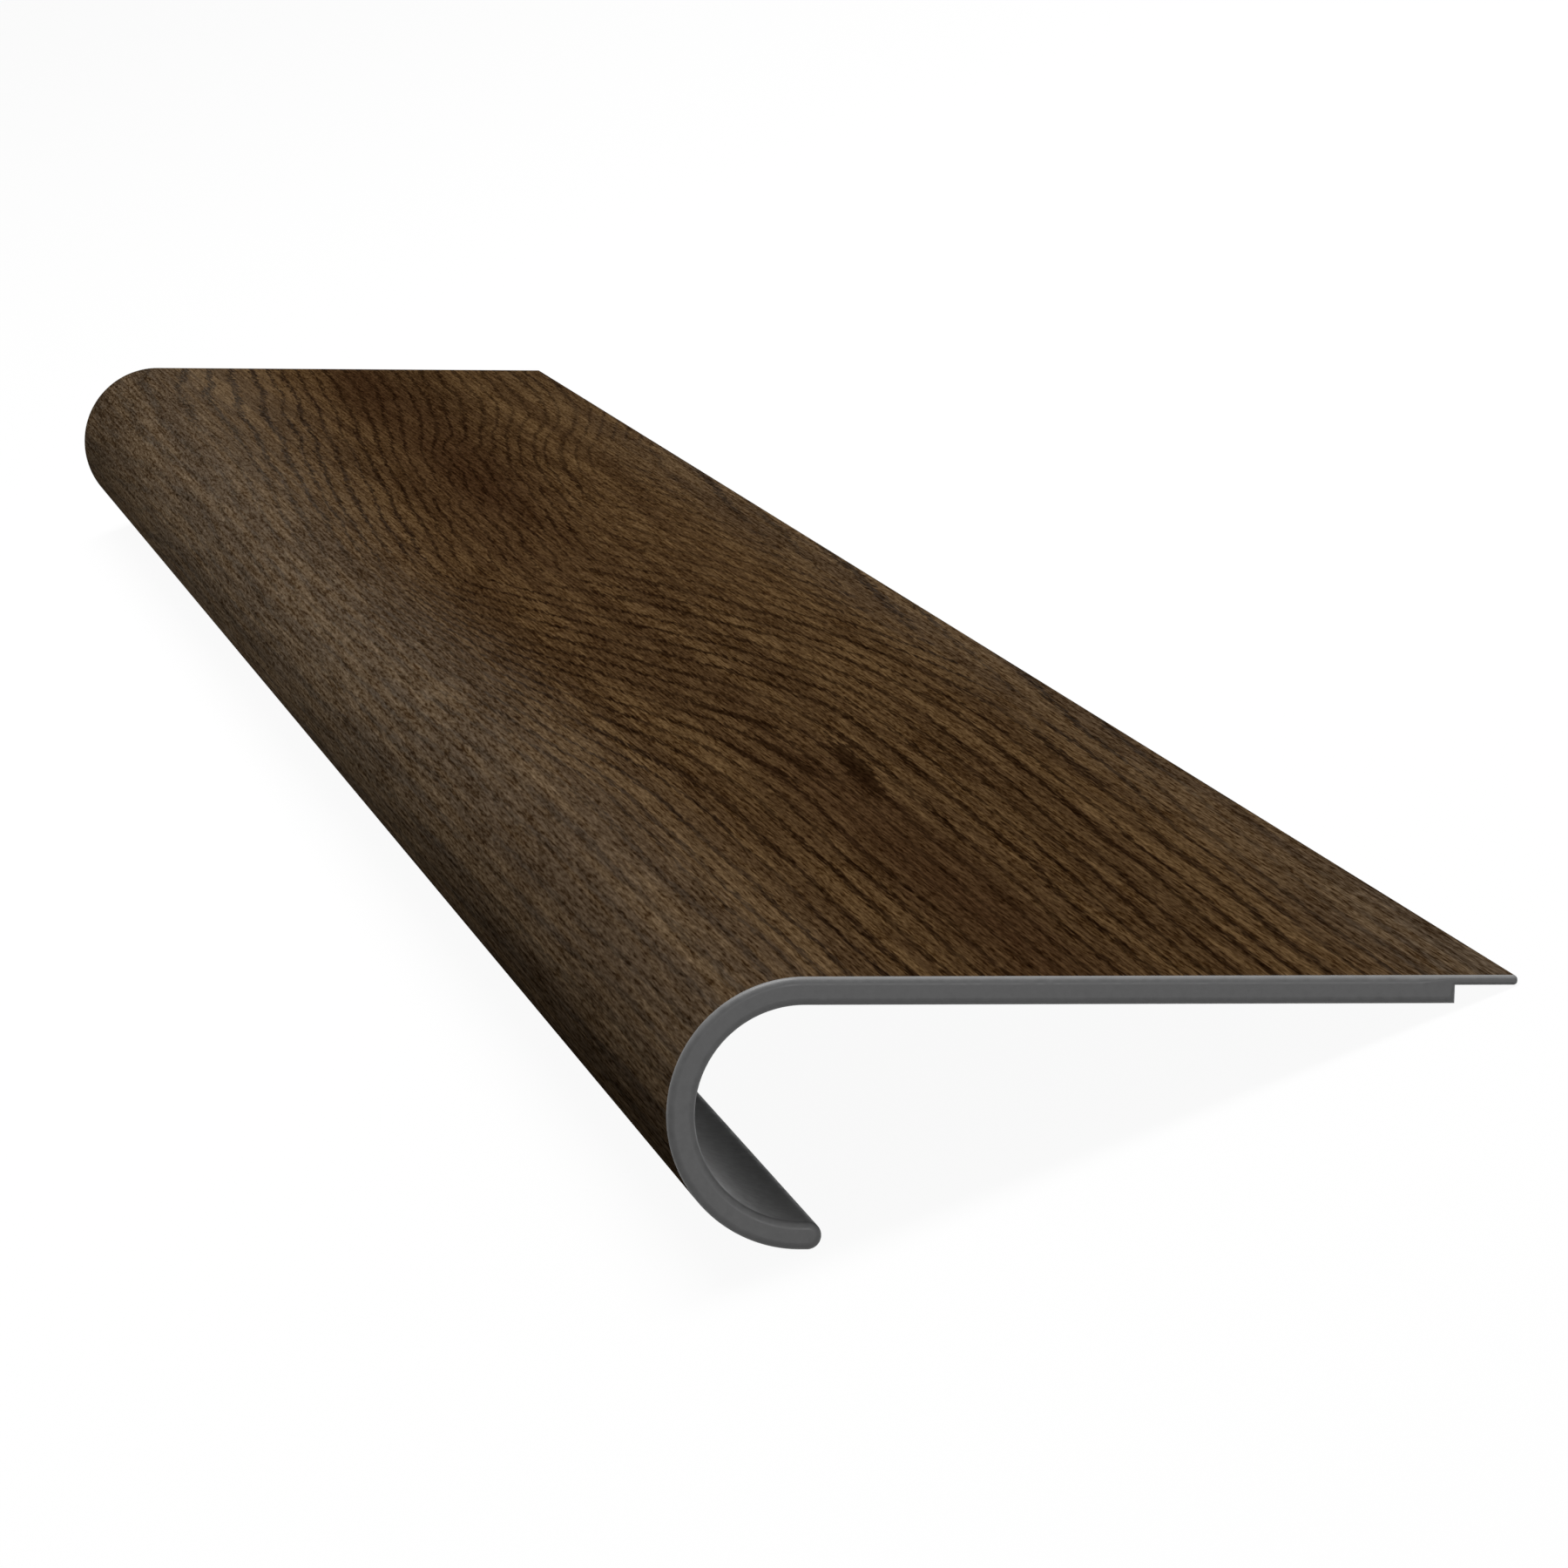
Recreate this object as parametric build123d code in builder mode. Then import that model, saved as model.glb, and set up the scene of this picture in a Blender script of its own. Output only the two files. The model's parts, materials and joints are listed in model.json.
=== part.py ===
from build123d import *
from math import asin, atan2, cos, sin
import os

# Landing nosing: one vinyl extrusion that caps the front edge of a stair landing.
# Its section is a flat plate that turns through a half round nose into a short, round ended tail.
# A thin lip at the back of the plate laps over the floor covering beside it.
# In the section, u runs back from the front of the nose and v runs up from the bottom of the nose.

# Driving dimensions, in millimetres
length = 1200.0
depth = 121.0  # front of the nose to the back edge of the lip
plate_thickness = 4.0  # wall of the plate, the nose and the tail
nose_gap = 30.6  # clear height inside the nose, which takes the landing's board
tail_run = 0.9  # straight run of the tail past the half round
lip_width = 9.0
lip_thickness = 1.4
lip_edge_round = 0.6  # round on the two long edges of the lip
end_edge_round = 0.5  # eased outline of the two sawn ends
wall_share = 0.45  # largest share of the lip's wall that a round on one side takes
round_share = 0.9  # largest share of the lip's round that the ends' round takes

# Sizes that follow
nose_inner_radius = nose_gap / 2
nose_radius = nose_inner_radius + plate_thickness
height = 2 * nose_radius
tip_radius = plate_thickness / 2
tail_end = nose_radius + tail_run
rebate = depth - lip_width
lip_underside = height - lip_thickness
lip_round = min(lip_edge_round, wall_share * lip_thickness)
end_round = min(end_edge_round, round_share * lip_round)

# Rest pose: unheld, the nosing stands on the round tip of its tail and the lower edge of its lip.
# The floor is the common tangent of those two rounds, so the plate slopes down towards the lip.
# In a section with a higher rebate, the plate's lower back corner meets the floor before the lip does.
tip_centre = Vector(tail_end, tip_radius)
lip_low_centre = Vector(depth - lip_round, lip_underside + lip_round)
lip_high_centre = Vector(depth - lip_round, height - lip_round)
plate_corner = Vector(rebate, height - plate_thickness)


def floor_slope(touch: Vector, touch_radius: float) -> float:
    """Slope, in the section, of a floor under the tail's tip and a round at touch."""
    stance = touch - tip_centre
    return atan2(stance.Y, stance.X) + asin((tip_radius - touch_radius) / stance.length)


tilt = min(floor_slope(lip_low_centre, lip_round), floor_slope(plate_corner, 0))
back = Vector(cos(tilt), 0, -sin(tilt))  # direction of u
up = Vector(sin(tilt), 0, cos(tilt))  # direction of v

# The origin is on the floor, in the middle of the footprint's length and depth.
front_reach = nose_radius * (back.X + up.X) - nose_radius
back_reach = lip_high_centre.X * back.X + lip_high_centre.Y * up.X + lip_round
tip_drop = tip_centre.X * back.Z + tip_centre.Y * up.Z - tip_radius
corner = Vector(-(front_reach + back_reach) / 2, 0, -tip_drop)
section_plane = Plane(origin=corner, x_dir=back, z_dir=(0, -1, 0))

# The nosing: its outline runs along the top, round the nose and the tail's tip, and back underneath.
with BuildPart() as landing_nosing:
    with BuildSketch(section_plane) as section:
        with BuildLine():
            top = Line((depth, height), (nose_radius, height))
            nose = JernArc(start=top @ 1, tangent=top % 1, radius=nose_radius, arc_size=180)
            tail_bottom = Line(nose @ 1, (tail_end, 0))
            tip = JernArc(start=tail_bottom @ 1, tangent=tail_bottom % 1, radius=tip_radius, arc_size=180)
            tail_top = Line(tip @ 1, (nose_radius, plate_thickness))
            hook = JernArc(start=tail_top @ 1, tangent=tail_top % 1, radius=nose_inner_radius, arc_size=-180)
            bed = Line(hook @ 1, plate_corner)
            step = Line(bed @ 1, (rebate, lip_underside))
            lap = Line(step @ 1, (depth, lip_underside))
            Line(lap @ 1, top @ 0)
        make_face()
        fillet(section.vertices().group_by(Axis.X)[-1], lip_round)
    extrude(amount=length / 2, both=True)
    sawn_ends = landing_nosing.faces().filter_by(Axis.Y)
    fillet(sawn_ends.edges(), end_round)

landing_nosing.part.label = "landing_nosing"
os.makedirs("parts", exist_ok=True)
export_step(landing_nosing.part, "parts/landing_nosing.step")
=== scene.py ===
"""Landing nosing in wood-print vinyl: the look of the piece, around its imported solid.

The piece is one extrusion. A printed oak film covers its top and the outside of its nose, and the bare grey
vinyl shows at the sawn ends and underneath. All sizes are in metres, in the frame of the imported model.
"""

import json
import logging
import math
from dataclasses import dataclass
from enum import Enum

import bpy
from mathutils import Matrix, Vector

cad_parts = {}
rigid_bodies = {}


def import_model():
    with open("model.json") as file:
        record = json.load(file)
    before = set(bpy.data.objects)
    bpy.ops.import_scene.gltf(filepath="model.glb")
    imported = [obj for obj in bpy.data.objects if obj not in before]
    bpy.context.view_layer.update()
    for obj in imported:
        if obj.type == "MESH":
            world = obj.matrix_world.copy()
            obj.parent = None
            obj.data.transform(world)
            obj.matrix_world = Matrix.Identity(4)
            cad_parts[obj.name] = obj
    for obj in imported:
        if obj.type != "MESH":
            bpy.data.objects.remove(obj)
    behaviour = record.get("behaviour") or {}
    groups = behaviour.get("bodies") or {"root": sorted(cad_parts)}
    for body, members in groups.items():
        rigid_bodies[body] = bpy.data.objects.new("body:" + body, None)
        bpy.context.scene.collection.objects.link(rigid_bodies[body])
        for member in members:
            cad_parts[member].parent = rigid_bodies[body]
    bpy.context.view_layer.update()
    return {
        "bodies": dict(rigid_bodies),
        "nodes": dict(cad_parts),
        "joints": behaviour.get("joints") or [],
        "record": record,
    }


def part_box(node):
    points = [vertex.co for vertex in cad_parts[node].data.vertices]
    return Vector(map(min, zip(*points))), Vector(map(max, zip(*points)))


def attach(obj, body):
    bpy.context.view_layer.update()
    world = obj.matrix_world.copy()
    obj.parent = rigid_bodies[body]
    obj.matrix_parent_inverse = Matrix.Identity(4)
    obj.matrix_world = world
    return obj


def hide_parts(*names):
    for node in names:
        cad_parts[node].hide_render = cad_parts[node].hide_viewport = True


LOG = logging.getLogger("landing_nosing")
NODE = "landing_nosing"
GRAIN_MAP = "grain"  # metres across the section and along the length
BAKE_MAP = "OFBake"  # the same surface laid out in a square
PRINTED = "printed"
QUARTER = math.pi / 2
TINY = 1e-6  # a length or an angle that counts as nothing
WHITE = (1.0, 1.0, 1.0, 1.0)

Socket = bpy.types.NodeSocket
Sockets = bpy.types.bpy_prop_collection
Value = Socket | float | tuple[float, ...]
Span = tuple[float, float]
Triple = tuple[float, float, float]
Colour = tuple[int, int, int]  # 0 to 255, as on a screen


class Skin(Enum):
    """The two surfaces of the extrusion."""

    PRINT = "oak_print"
    CORE = "grey_vinyl"


class End(Enum):
    """The two sawn ends, by their place in lengths from the middle."""

    NEAR = 0.5
    FAR = -0.5


class Board:
    """Places and links the nodes of one tree."""

    def __init__(self, tree: bpy.types.NodeTree) -> None:
        """Takes the tree that the nodes go in."""
        self.tree = tree

    def put(self, socket: Socket, value: Value) -> None:
        """Fills an input.

        Args:
            socket: The input.
            value: A socket to link to it, or else the value to set it to.
        """
        if isinstance(value, Socket):
            self.tree.links.new(value, socket)
        else:
            socket.default_value = value

    def node(
        self, kind: str, inputs: dict[str | int, Value] | None = None, **settings: object
    ) -> bpy.types.Node:
        """Adds a node.

        Args:
            kind: Blender's name of the node type.
            inputs: Values or sockets for its inputs, by name or number.
            **settings: Properties of the node.

        Returns:
            The new node.
        """
        node = self.tree.nodes.new(kind)
        for name, setting in settings.items():
            setattr(node, name, setting)
        for key, value in (inputs or {}).items():
            self.put(node.inputs[key], value)
        return node

    def math(self, operation: str, *values: Value) -> Socket:
        """The result of a Math node on the values."""
        return self.node("ShaderNodeMath", dict(enumerate(values)), operation=operation).outputs[0]

    def vectors(self, operation: str, *values: Value) -> Socket:
        """The result of a Vector Math node on the values."""
        return self.node("ShaderNodeVectorMath", dict(enumerate(values)), operation=operation).outputs[0]

    def total(self, first: Value, *others: Value) -> Value:
        """Adds values up.

        Args:
            first: One of the values.
            *others: The other values.

        Returns:
            Their sum.
        """
        for value in others:
            first = self.math("ADD", first, value)
        return first

    def scaled(self, value: Value, factor: Value, offset: Value) -> Socket:
        """The value times a factor, plus an offset."""
        return self.math("ADD", self.math("MULTIPLY", value, factor), offset)

    def ramp(self, value: Value, start: Value, end: Value, low: Value = 0.0, high: Value = 1.0) -> Socket:
        """A smooth step from low to high as value goes from start to end."""
        inputs = {"Value": value, "From Min": start, "From Max": end, "To Min": low, "To Max": high}
        return self.node("ShaderNodeMapRange", inputs, interpolation_type="SMOOTHSTEP").outputs["Result"]

    def vector(self, x: Value, y: Value, z: Value = 0.0) -> Socket:
        """A vector of three values."""
        return self.node("ShaderNodeCombineXYZ", {"X": x, "Y": y, "Z": z}).outputs[0]

    def blend(self, share: Value, first: Value, second: Value) -> Socket:
        """A number between first and second."""
        return self.node("ShaderNodeMix", {0: share, 2: first, 3: second}, data_type="FLOAT").outputs[0]

    def tint(self, share: Value, first: Value, second: Value, mode: str = "MIX") -> Socket:
        """A colour between first and second."""
        inputs = {0: share, 6: first, 7: second}
        return self.node("ShaderNodeMix", inputs, data_type="RGBA", blend_type=mode).outputs[2]


def linear(colour: Colour) -> tuple[float, float, float, float]:
    """Turns a screen colour into the linear colour that a shader takes.

    Args:
        colour: The screen colour.

    Returns:
        The linear colour, with full opacity.
    """

    def channel(level: int) -> float:
        """One channel's linear share."""
        share = level / 255
        return share / 12.92 if share <= 0.04045 else ((share + 0.055) / 1.055) ** 2.4

    red, green, blue = colour
    return (channel(red), channel(green), channel(blue), 1.0)


def cleared(owner: bpy.types.Material | bpy.types.World) -> bpy.types.NodeTree:
    """Gives a material or a world an empty tree.

    Args:
        owner: The material or the world.

    Returns:
        Its tree.
    """
    owner.use_nodes = True
    owner.node_tree.nodes.clear()
    return owner.node_tree


def new_material(name: str) -> tuple[bpy.types.Material, bpy.types.Node]:
    """A material with an empty shader.

    Args:
        name: The material's name.

    Returns:
        The material and its Principled shader.
    """
    material = bpy.data.materials.new(name)
    board = Board(cleared(material))
    shader = board.node("ShaderNodeBsdfPrincipled")
    board.node("ShaderNodeOutputMaterial", {"Surface": shader.outputs[0]})
    return material, shader


@dataclass(frozen=True)
class Streaks:
    """A pattern of streaks along the film."""

    width: float
    length: float
    detail: float  # octaves of finer streaks
    seed: float  # sets the pattern apart from the others
    roughness: float = 0.55  # strength of each finer octave
    seed_across: float = 17.0  # how far one seed moves the pattern, in streaks
    seed_along: float = 29.0


class FilmBoard(Board):
    """Places the nodes of a material that is laid out by the film's own map."""

    def __init__(self, tree: bpy.types.NodeTree) -> None:
        """Reads the place on the film.

        Args:
            tree: The material's tree.
        """
        super().__init__(tree)
        uv = self.node("ShaderNodeUVMap", uv_map=GRAIN_MAP).outputs[0]
        parts = self.node("ShaderNodeSeparateXYZ", {0: uv})
        self.across, self.along = parts.outputs[0], parts.outputs[1]

    def streaks(self, kind: Streaks) -> Socket:
        """Draws streaks along the film.

        Args:
            kind: The streaks' sizes.

        Returns:
            The pattern, about 0.5 on average.
        """
        x = self.math("ADD", self.math("DIVIDE", self.across, kind.width), kind.seed_across * kind.seed)
        y = self.math("ADD", self.math("DIVIDE", self.along, kind.length), kind.seed_along * kind.seed)
        inputs = {"Vector": self.vector(x, y), "Scale": 1.0}
        inputs |= {"Detail": kind.detail, "Roughness": kind.roughness}
        return self.node("ShaderNodeTexNoise", inputs, noise_dimensions="2D").outputs[0]

    def swing(self, pattern: Socket, amount: float) -> Socket:
        """A pattern as a change to either side of zero."""
        return self.math("MULTIPLY", self.math("SUBTRACT", pattern, 0.5), amount)


@dataclass(frozen=True)
class Mark:
    """An oval area of the print, longest along the film."""

    across: float
    along: float
    half_width: float
    half_length: float
    lean: float  # how far it moves across for each metre along

    def mask(self, film: FilmBoard) -> Socket:
        """Draws the area.

        Args:
            film: The material's board.

        Returns:
            1 in the middle of the area, falling smoothly to 0 outside it.
        """
        ahead = film.math("SUBTRACT", film.along, self.along)
        middle = film.scaled(ahead, self.lean, self.across)
        aside = film.math("DIVIDE", film.math("SUBTRACT", film.across, middle), self.half_width)
        away = film.math("DIVIDE", ahead, self.half_length)
        square = film.math("ADD", film.math("MULTIPLY", aside, aside), film.math("MULTIPLY", away, away))
        return film.math("EXPONENT", film.math("MULTIPLY", square, -1.0))


@dataclass(frozen=True)
class RingSweep:
    """How the growth rings run along the film, as three families of lines.

    From the near end the main rings fan out towards the lip, and between a quarter and a third of the way
    along they start to swing towards the nose. The rings beside the lip fan out without the swing. Beyond a
    seam the rings lie closer together, bow, and lean towards the lip. The seam runs straight across the
    nose's half of the film and slants away over the lip's half.
    """

    spacing: float = 0.0044
    fan: float = 0.40  # how much the rings spread, for each metre of length
    fan_start: float = 0.1  # along: where they lie just one spacing apart
    swing_across: Span = (0.010, 0.075)  # across: between here the start of the swing moves
    swing_start: Span = (0.275, 0.390)  # along: from the first of these places to the second
    swing_rate: float = 0.152  # how far the rings swing, for each metre along
    swing_foot: float = 0.13  # length over which the swing sets in
    nose_edge: Span = (-0.024, 0.012)  # across: between here the swing sets in, on the nose
    lip_edge: Span = (0.087, 0.096)  # across: between here the rings beside the lip take over
    seam: float = 0.612  # along: the seam on the nose's half
    seam_end: float = 0.940  # along: its far end, at the lip
    seam_slant: Span = (0.046, 0.090)  # across: between here the seam slants
    seam_edge: Span = (-0.008, 0.008)  # past the seam: between here the close rings take over
    seam_strength: float = 0.7  # share of the rings that is left at the seam
    seam_reach: float = 0.060  # how far from the seam they are whole again
    ragged: Streaks = Streaks(0.006, 0.060, 2.0, 13.0)  # moves the seam across
    ragged_by: float = 0.022
    frayed: Streaks = Streaks(0.0016, 0.030, 1.0, 14.0)  # moves the seam along
    frayed_by: float = 0.090
    close_spacing: float = 0.0032  # of the rings beyond the seam
    lean: float = 0.050  # how far they lean, for each metre along
    lean_edge: Span = (-0.050, 0.030)  # across: between here the lean sets in
    bows: Streaks = Streaks(0.013, 0.060, 1.0, 15.0)
    bow: float = 0.0070  # how far they bow
    bow_place: Mark = Mark(0.044, 0.800, 0.014, 0.190, 0.056)  # and where
    far_fan: Span = (0.860, 1.090)  # along: between here the rings beyond the seam spread
    far_spread: float = 0.78  # to this share of their number
    waver: Streaks = Streaks(0.016, 0.090, 1.0, 11.0)
    wobble: float = 0.0026  # how far every ring wavers
    strokes: Streaks = Streaks(0.00055, 0.010, 1.0, 12.0)
    hatch: Span = (0.0010, 0.0021)  # how far a ring's strokes lie apart, straight and swung
    hatch_along: Span = (0.200, 0.360)  # along: between here they draw apart
    hatch_seam: Span = (-0.020, 0.080)  # past the seam: between here they draw half way together
    drift: float = 0.9  # how far a ring lies from its even place, in spacings
    drift_pace: float = 0.45  # and how soon that changes from ring to ring

    def past_seam(self, film: FilmBoard) -> Socket:
        """Measures how far a place is past the ragged seam.

        Args:
            film: The material's board.

        Returns:
            The distance along the film, below zero before the seam.
        """
        ragged = film.swing(film.streaks(self.ragged), self.ragged_by)
        inputs = {"Value": film.math("ADD", film.across, ragged)}
        inputs |= {"From Min": self.seam_slant[0], "From Max": self.seam_slant[1]}
        inputs |= {"To Min": self.seam, "To Max": self.seam_end}
        seam = film.node("ShaderNodeMapRange", inputs).outputs["Result"]
        frayed = film.swing(film.streaks(self.frayed), self.frayed_by)
        return film.math("SUBTRACT", film.math("ADD", film.along, frayed), seam)

    def main_rings(self, film: FilmBoard) -> Socket:
        """Sweeps the main rings.

        Args:
            film: The material's board.

        Returns:
            A distance that is the same all along a ring.
        """
        start = film.ramp(film.across, *self.swing_across, *self.swing_start)
        gone = film.math("SMOOTH_MAX", film.math("SUBTRACT", film.along, start), 0.0, self.swing_foot)
        rate = film.ramp(film.across, *self.nose_edge, 0.0, self.swing_rate)
        swung = film.math("MULTIPLY", gone, rate)
        return film.math("ADD", self.lip_rings(film), swung)

    def lip_rings(self, film: FilmBoard) -> Socket:
        """A distance that is the same all along a ring beside the lip."""
        spread = film.math("MULTIPLY", film.math("SUBTRACT", film.along, self.fan_start), -self.fan)
        return film.math("MULTIPLY", film.across, film.math("ADD", spread, 1.0))

    def close_rings(self, film: FilmBoard) -> Socket:
        """Sweeps the rings beyond the seam.

        Args:
            film: The material's board.

        Returns:
            A distance that is the same all along a ring.
        """
        past = film.math("SUBTRACT", film.along, self.seam)
        lean = film.ramp(film.across, *self.lean_edge, 0.0, self.lean)
        turn = film.swing(film.streaks(self.bows), self.bow)
        bowed = film.math("MULTIPLY", turn, self.bow_place.mask(film))
        leant = film.math("MULTIPLY", past, film.math("MULTIPLY", lean, -1.0))
        spread = film.ramp(film.along, *self.far_fan, 1.0, self.far_spread)
        return film.math("MULTIPLY", film.total(film.across, leant, bowed), spread)

    def wave(self, film: FilmBoard) -> Socket:
        """Draws the rings as a wave, which is weaker at the seam.

        Args:
            film: The material's board.

        Returns:
            The wave, from -1 between the rings to 1 on each ring.
        """
        past = self.past_seam(film)
        apart = film.ramp(film.along, *self.hatch_along, *self.hatch)
        apart = film.ramp(past, *self.hatch_seam, apart, sum(self.hatch) / 2)
        hatch = film.math("MULTIPLY", film.swing(film.streaks(self.strokes), 1.0), apart)
        wobble = film.swing(film.streaks(self.waver), self.wobble)
        moved = film.math("ADD", wobble, hatch)
        families = (
            (self.main_rings(film), self.spacing),
            (self.lip_rings(film), self.spacing),
            (self.close_rings(film), self.close_spacing),
        )
        waves = []
        for place, spacing in families:
            count = film.math("DIVIDE", film.math("ADD", place, moved), spacing)
            inputs = {"W": count, "Scale": self.drift_pace, "Detail": 1.0}
            drift = film.node("ShaderNodeTexNoise", inputs, noise_dimensions="1D").outputs[0]
            phase = film.math("ADD", count, film.math("MULTIPLY", drift, self.drift))
            waves.append(film.math("SINE", film.math("MULTIPLY", phase, 2 * math.pi)))
        before = film.blend(film.ramp(film.across, *self.lip_edge), waves[0], waves[1])
        wave = film.blend(film.ramp(past, *self.seam_edge), before, waves[2])
        strength = film.ramp(film.math("ABSOLUTE", past), 0.0, self.seam_reach, self.seam_strength, 1.0)
        return film.math("MULTIPLY", wave, strength)


@dataclass(frozen=True)
class OakPrint:
    """The printed film: brown oak, with dark growth rings that swing aside in the middle of the length.

    Distances are metres on the unrolled film: across runs from the top of the nose to the lip, and along runs
    from the near end to the far end.
    """

    olive: Colour = (66, 48, 29)
    golden: Colour = (80, 60, 37)
    gold_edge: Span = (0.82, 1.22)  # band and streak together: between here olive turns golden
    red: Colour = (49, 31, 17)
    red_share: float = 0.8  # how red the heartwood is
    heartwood: tuple[Mark, ...] = (
        Mark(0.045, 0.850, 0.015, 0.220, 0.045),
        Mark(0.0365, 0.110, 0.0090, 0.240, 0.01),
        Mark(0.048, 1.130, 0.011, 0.150, 0.03),
    )
    ink: Colour = (27, 14, 5)
    ink_share: float = 0.88  # how dark a ring is
    sheen_and_pale_edge: Colour = (123, 123, 115)  # a pale grey: painted sheen on the nose, and the paler trimmed lip and worn corner
    nose_sheen: Span = (0.075, 0.125)  # how strong the painted sheen on the nose is, at the near end and further on
    nose_sheen_along: Span = (0.050, 0.550)
    nose_sheen_full: float = -0.016  # across: where it is full
    nose_sheen_none: Span = (0.020, 0.041)  # across: where it ends, up to the middle and at the far end
    nose_sheen_widens: Span = (0.550, 1.100)  # along: between here it widens
    lip_bloom: Span = (0.06, 0.015)  # how pale the lip is, at the near end and at the far end
    lip_bloom_along: Span = (0.850, 1.100)
    lip_bloom_across: Span = (0.078, 0.102)
    worn_corner: Mark = Mark(0.098, 0.0, 0.015, 0.110, 0.0)
    fibre: Streaks = Streaks(0.00050, 0.008, 2.0, 1.0)
    fibre_by: float = 1.8  # how much lighter or darker the streaks make the film
    hair: Streaks = Streaks(0.00028, 0.0045, 1.0, 2.0)
    hair_by: float = 1.7
    thread: Streaks = Streaks(0.00070, 0.035, 1.0, 9.0)
    thread_by: float = 1.5
    band: Streaks = Streaks(0.0020, 0.120, 1.0, 3.0)
    streak: Streaks = Streaks(0.0065, 0.320, 2.0, 4.0)
    streak_by: float = 0.3
    cloud: Streaks = Streaks(0.028, 0.400, 1.0, 5.0)
    cloud_by: float = 0.35
    tones_and_sheen: tuple[tuple[Mark, float], ...] = (  # where the film is lighter or darker, and by how much, with a painted sheen among them
        # painted sheen: lighter on the nose's shoulder at the near end
        (Mark(-0.012, 0.080, 0.016, 0.160, 0.0), 0.22),
        (Mark(0.016, 1.140, 0.012, 0.130, 0.0), 0.30),
        (Mark(-0.020, 1.160, 0.016, 0.170, 0.0), -0.20),
        (Mark(0.055, 0.130, 0.006, 0.150, 0.0), -0.20),
        (Mark(0.065, 0.300, 0.006, 0.110, 0.0), -0.20),
        (Mark(0.066, 0.800, 0.007, 0.230, 0.0), -0.17),
    )
    paling: Triple = (0.97, 1.12, 1.32)  # a light stroke is paler, and a dark one deeper
    darkest: Triple = (0.3, 0.25, 0.2)  # the least share of the colour that a dark stroke leaves
    rings: RingSweep = RingSweep()
    pore: Streaks = Streaks(0.00050, 0.008, 1.0, 6.0)
    pore_by: float = 1.3  # how much the pores break up a ring
    ring_edge: Span = (0.42, 1.05)  # wave and pores together: between here a stroke darkens
    patch: Streaks = Streaks(0.010, 0.080, 1.0, 7.0)
    patch_edge: Span = (0.28, 0.62)
    patch_share: float = 0.7  # share of a ring that is left between the patches
    nose_edge: Span = (-0.014, 0.012)  # across: between here the rings fade, towards the nose
    nose_share: float = 0.50  # share of them that is left there
    faint: tuple[tuple[Mark, float], ...] = (  # where the rings are faint, and the share of them that is left
        (Mark(0.076, 0.690, 0.018, 0.170, 0.05), 0.65),
        (Mark(0.086, 1.010, 0.019, 0.180, 0.0), 0.65),
        (Mark(0.0370, 0.090, 0.007, 0.180, 0.01), 0.65),
        (Mark(0.099, 0.050, 0.014, 0.200, 0.0), 0.25),
    )
    knots: tuple[Mark, ...] = (
        Mark(0.0463, 0.262, 0.0022, 0.045, 0.055),
        Mark(0.0365, 0.343, 0.0016, 0.024, -0.220),
        Mark(0.0370, 0.275, 0.0011, 0.036, -0.030),
        Mark(0.0313, 0.265, 0.0010, 0.028, -0.080),
    )
    knot_pore_by: float = 1.1
    knot_edge: Span = (0.20, 0.55)
    knot_share: float = 0.95  # how dark a knot is, where a ring's stroke is 1
    bump_height: float = 0.00012
    bump_strength: float = 0.6
    ring_dip: float = 0.6  # how far a ring dips below the fibres
    roughness: Span = (0.66, 0.85)  # between the rings, and in them
    specular: float = 0.0

    def material(self) -> bpy.types.Material:
        """Builds the film's material."""
        material, shader = new_material(Skin.PRINT.value)
        film = FilmBoard(material.node_tree)
        fibre = film.streaks(self.fibre)
        line = self.ring_lines(film)
        film.put(shader.inputs["Base Color"], self.colour(film, line, fibre))
        height = film.math("SUBTRACT", fibre, film.math("MULTIPLY", line, self.ring_dip))
        inputs = {"Height": height, "Distance": self.bump_height, "Strength": self.bump_strength}
        film.put(shader.inputs["Normal"], film.node("ShaderNodeBump", inputs).outputs[0])
        film.put(shader.inputs["Roughness"], film.ramp(line, 0.0, 1.0, *self.roughness))
        shader.inputs["Specular IOR Level"].default_value = self.specular
        return material

    def ring_lines(self, film: FilmBoard) -> Socket:
        """Draws the dark early wood, in short strokes along each ring, and the knots.

        Args:
            film: The material's board.

        Returns:
            1 in a stroke, and 0 between the rings.
        """
        pore = film.streaks(self.pore)
        broken = film.math("ADD", self.rings.wave(film), film.swing(pore, self.pore_by))
        line = film.ramp(broken, *self.ring_edge)
        patchy = film.ramp(film.streaks(self.patch), *self.patch_edge, self.patch_share, 1.0)
        shown = film.math("MULTIPLY", patchy, film.ramp(film.across, *self.nose_edge, self.nose_share, 1.0))
        line = film.math("MULTIPLY", line, shown)
        for mark, left in self.faint:
            line = film.math("MULTIPLY", line, film.ramp(mark.mask(film), 0.0, 1.0, 1.0, left))
        for knot in self.knots:
            hatched = film.math("ADD", knot.mask(film), film.swing(pore, self.knot_pore_by))
            line = film.math("MAXIMUM", line, film.ramp(hatched, *self.knot_edge, 0.0, self.knot_share))
        return line

    def sheen_and_pale_share(self, film: FilmBoard) -> Socket:
        """Finds where the film is pale: a painted sheen on the nose, and the paler trimmed lip and its worn
        corner.

        Args:
            film: The material's board.

        Returns:
            The pale grey's share of the colour: painted sheen on the nose, and the paler lip.
        """
        none = film.ramp(film.along, *self.nose_sheen_widens, *self.nose_sheen_none)
        pale = film.ramp(film.along, *self.nose_sheen_along, *self.nose_sheen)
        # Painted sheen on the nose, full below its shoulder and fading out across the top.
        nose_sheen_share = film.ramp(film.across, none, self.nose_sheen_full, 0.0, pale)
        edge = film.ramp(film.along, *self.lip_bloom_along, *self.lip_bloom)
        trimmed = film.ramp(film.across, *self.lip_bloom_across, 0.0, edge)
        worn = film.math("MULTIPLY", self.worn_corner.mask(film), edge)
        return film.total(nose_sheen_share, trimmed, worn)

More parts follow.
